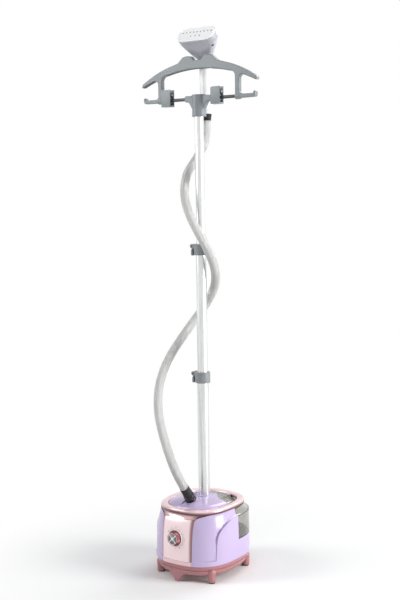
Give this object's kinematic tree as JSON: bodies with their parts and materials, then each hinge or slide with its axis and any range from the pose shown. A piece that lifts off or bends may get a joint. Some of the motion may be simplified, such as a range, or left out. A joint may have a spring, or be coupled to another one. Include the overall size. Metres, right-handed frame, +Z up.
{
  "type": "upright garment steamer",
  "caption": "Upright garment steamer: lift-off water tank and dial on a round base, telescopic pole with hanger and clips, braided hose, steam head.",
  "frame": {"origin": "on the floor, under the middle of the base", "axes": "+Z up along the pole, +Y to the back, -Y to the front with the dial, +X to the user's right"},
  "size_m": [0.384, 0.2909, 1.4911],
  "materials": {
    "rose_plastic": "glossy rose plastic",
    "black_rubber": "matt black rubber",
    "lavender_plastic": "glossy pale lavender plastic",
    "rose_gold_plastic": "glossy metallic rose-gold plastic",
    "white_plastic": "glossy white plastic",
    "wine_plastic": "metallic wine red plastic",
    "brushed_face": "brushed metal disc with white printed cross",
    "black_plastic": "glossy black plastic",
    "steel": "plain steel",
    "charcoal_plastic": "matt charcoal plastic",
    "smoked_clear": "clear smoke-tinted plastic",
    "boiler_aluminium": "die-cast aluminium",
    "silicone": "translucent silicone",
    "silver_tube": "satin silver aluminium tube",
    "grey_plastic": "satin blue-grey plastic",
    "dark_rod": "dark satin metal rod",
    "light_grey_plastic": "glossy light grey plastic",
    "white_gloss": "glossy white plate",
    "braided_hose": "grey metallic braid over rubber hose"
  },
  "bodies": {
    "base": {"base_tray": "rose_plastic", "foot_pads": "black_rubber", "outer_housing": "lavender_plastic", "front_fascia": "rose_gold_plastic", "dial_bezel": "white_plastic", "rotary_switch": "black_plastic", "switch_nut": "steel", "top_deck": "lavender_plastic", "steam_outlet": "black_plastic", "pole_socket": "lavender_plastic", "tank_bay_chassis": "charcoal_plastic", "base_screws": "steel", "tank_seat": "black_plastic", "boiler_lower": "boiler_aluminium", "boiler_upper": "boiler_aluminium", "boiler_gasket": "black_rubber", "boiler_screws": "steel", "heating_element": "steel", "thermostat": "steel", "steam_pipe": "silicone", "water_feed_pipe": "silicone", "terminal_block": "white_plastic", "cable_gland": "black_plastic", "lower_tube": "silver_tube", "lower_clamp": "grey_plastic", "lower_clamp_pin": "steel", "hose_cuff": "black_plastic", "hose_lower": "braided_hose"},
    "dial": {"steam_knob": "wine_plastic", "knob_face": "brushed_face", "switch_shaft": "steel"},
    "water_tank": {"water_tank": "smoked_clear", "tank_handle": "rose_gold_plastic"},
    "tank_cap": {"tank_cap": "black_plastic", "tank_cap_gasket": "black_rubber"},
    "tank_valve": {"valve_plunger": "silicone", "valve_spring": "steel"},
    "drain_plug": {"drain_plug": "black_plastic"},
    "hose_nut": {"hose_nut": "black_plastic"},
    "lower_lever": {"lower_clamp_lever": "grey_plastic"},
    "pole_middle": {"middle_tube": "silver_tube", "upper_clamp": "grey_plastic", "upper_clamp_pin": "steel", "hose_upper": "braided_hose"},
    "upper_lever": {"upper_clamp_lever": "grey_plastic"},
    "pole_upper": {"upper_tube": "silver_tube", "hanger_hub": "grey_plastic", "hanger_rod": "dark_rod", "hanger_frame": "grey_plastic", "hose_tail": "braided_hose"},
    "left_clip": {"left_clip_leg": "grey_plastic", "left_clip_pin": "steel"},
    "left_jaw": {"left_clip_jaw": "grey_plastic"},
    "right_clip": {"right_clip_leg": "grey_plastic", "right_clip_pin": "steel"},
    "right_jaw": {"right_clip_jaw": "grey_plastic"},
    "steam_head": {"head_shell": "light_grey_plastic", "steam_plate": "white_gloss", "steam_handle": "light_grey_plastic", "handle_cuff": "black_plastic"}
  },
  "joints": [
    {"name": "dial_turn", "type": "hinge", "parent": "base", "child": "dial", "pos_m": [0, -0.13056, 0.122], "axis": [0, -0.9965, 0.0837], "range_deg": [0, 300]},
    {"name": "tank_lift", "type": "slide", "parent": "base", "child": "water_tank", "axis": [0, 0, 1], "range_m": [0, 0.15]},
    {"name": "cap_turn", "type": "hinge", "parent": "water_tank", "child": "tank_cap", "pos_m": [0, 0.097, 0.09], "axis": [0, 0, 1], "range_deg": [0, 90]},
    {"name": "valve_push", "type": "slide", "parent": "water_tank", "child": "tank_valve", "axis": [0, 0, 1], "range_m": [0, 0.004], "stiffness_N_per_m": 300, "deforming": ["valve_spring"]},
    {"name": "drain_turn", "type": "hinge", "parent": "base", "child": "drain_plug", "pos_m": [0, -0.05, 0.02], "axis": [0, 0, -1], "range_deg": [0, 360]},
    {"name": "hose_nut_turn", "type": "hinge", "parent": "base", "child": "hose_nut", "pos_m": [0, -0.055, 0.211], "axis": [0, -0.6157, 0.788], "range_deg": [0, 360]},
    {"name": "lower_lever_flip", "type": "hinge", "parent": "base", "child": "lower_lever", "pos_m": [-0.0275, 0.008, 0.551], "axis": [0, 1, 0], "range_deg": [0, 100]},
    {"name": "middle_tube_slide", "type": "slide", "parent": "base", "child": "pole_middle", "axis": [0, 0, 1], "range_m": [-0.3, 0], "deforming": ["hose_lower"]},
    {"name": "upper_lever_flip", "type": "hinge", "parent": "pole_middle", "child": "upper_lever", "pos_m": [-0.02575, 0.008, 0.904], "axis": [0, 1, 0], "range_deg": [0, 100]},
    {"name": "upper_tube_slide", "type": "slide", "parent": "pole_middle", "child": "pole_upper", "axis": [0, 0, 1], "range_m": [-0.33, 0], "deforming": ["hose_upper"]},
    {"name": "left_clip_slide", "type": "slide", "parent": "pole_upper", "child": "left_clip", "axis": [1, 0, 0], "range_m": [-0.001, 0.044]},
    {"name": "left_jaw_open", "type": "hinge", "parent": "left_clip", "child": "left_jaw", "pos_m": [-0.104, 0.008, 1.316], "axis": [1, 0, 0], "range_deg": [-20, 0], "stiffness_Nm_per_rad": 0.1},
    {"name": "right_clip_slide", "type": "slide", "parent": "pole_upper", "child": "right_clip", "axis": [1, 0, 0], "range_m": [-0.001, 0.045]},
    {"name": "right_jaw_open", "type": "hinge", "parent": "right_clip", "child": "right_jaw", "pos_m": [0.06, 0.008, 1.316], "axis": [1, 0, 0], "range_deg": [-20, 0], "stiffness_Nm_per_rad": 0.1},
    {"name": "head_lift", "type": "slide", "parent": "pole_upper", "child": "steam_head", "axis": [0, 0, 1], "range_m": [0, 0.06], "deforming": ["hose_tail"]}
  ]
}
